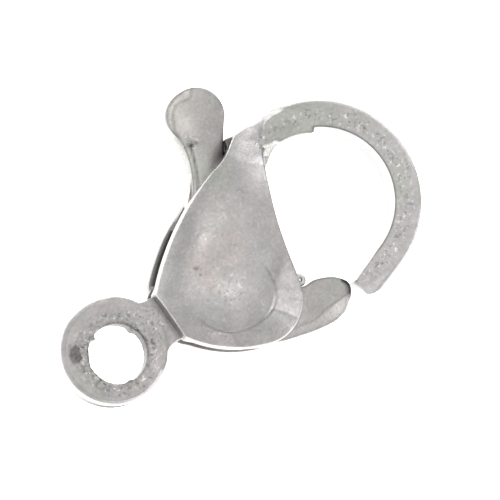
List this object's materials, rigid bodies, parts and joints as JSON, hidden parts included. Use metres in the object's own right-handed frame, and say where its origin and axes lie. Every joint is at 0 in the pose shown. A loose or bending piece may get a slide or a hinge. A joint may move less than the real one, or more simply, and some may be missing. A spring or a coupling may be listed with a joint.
{
  "type": "lobster clasp",
  "caption": "Cast steel lobster clasp: tail ring with an eye, two domed cheeks, a round hook and a sprung thumb lever whose gate closes the hook.",
  "frame": {"origin": "middle of the tail ring's eye, at mid thickness", "axes": "+X from the tail ring to the hook, +Y towards the thumb lever, +Z along the eye, out of the face that the picture shows"},
  "size_m": [0.0151, 0.0101, 0.0034],
  "materials": {
    "cast_body": "tumbled cast stainless steel, matt grain on the flat faces and soft polish on the crowns",
    "cast_lever": "tumbled cast stainless steel",
    "rivet": "plain drawn steel",
    "spring_wire": "bright drawn spring steel"
  },
  "bodies": {
    "casting": {"body": "cast_body", "pivot_pin": "rivet"},
    "lever": {"lever": "cast_lever", "spring": "spring_wire"}
  },
  "joints": [
    {"name": "gate_swing", "type": "hinge", "parent": "casting", "child": "lever", "pos_m": [0.005, -0.00085, 0], "axis": [0, 0, 1], "range_deg": [0, 25], "stiffness_Nm_per_rad": 0.03, "springref_deg": -9.74}
  ]
}
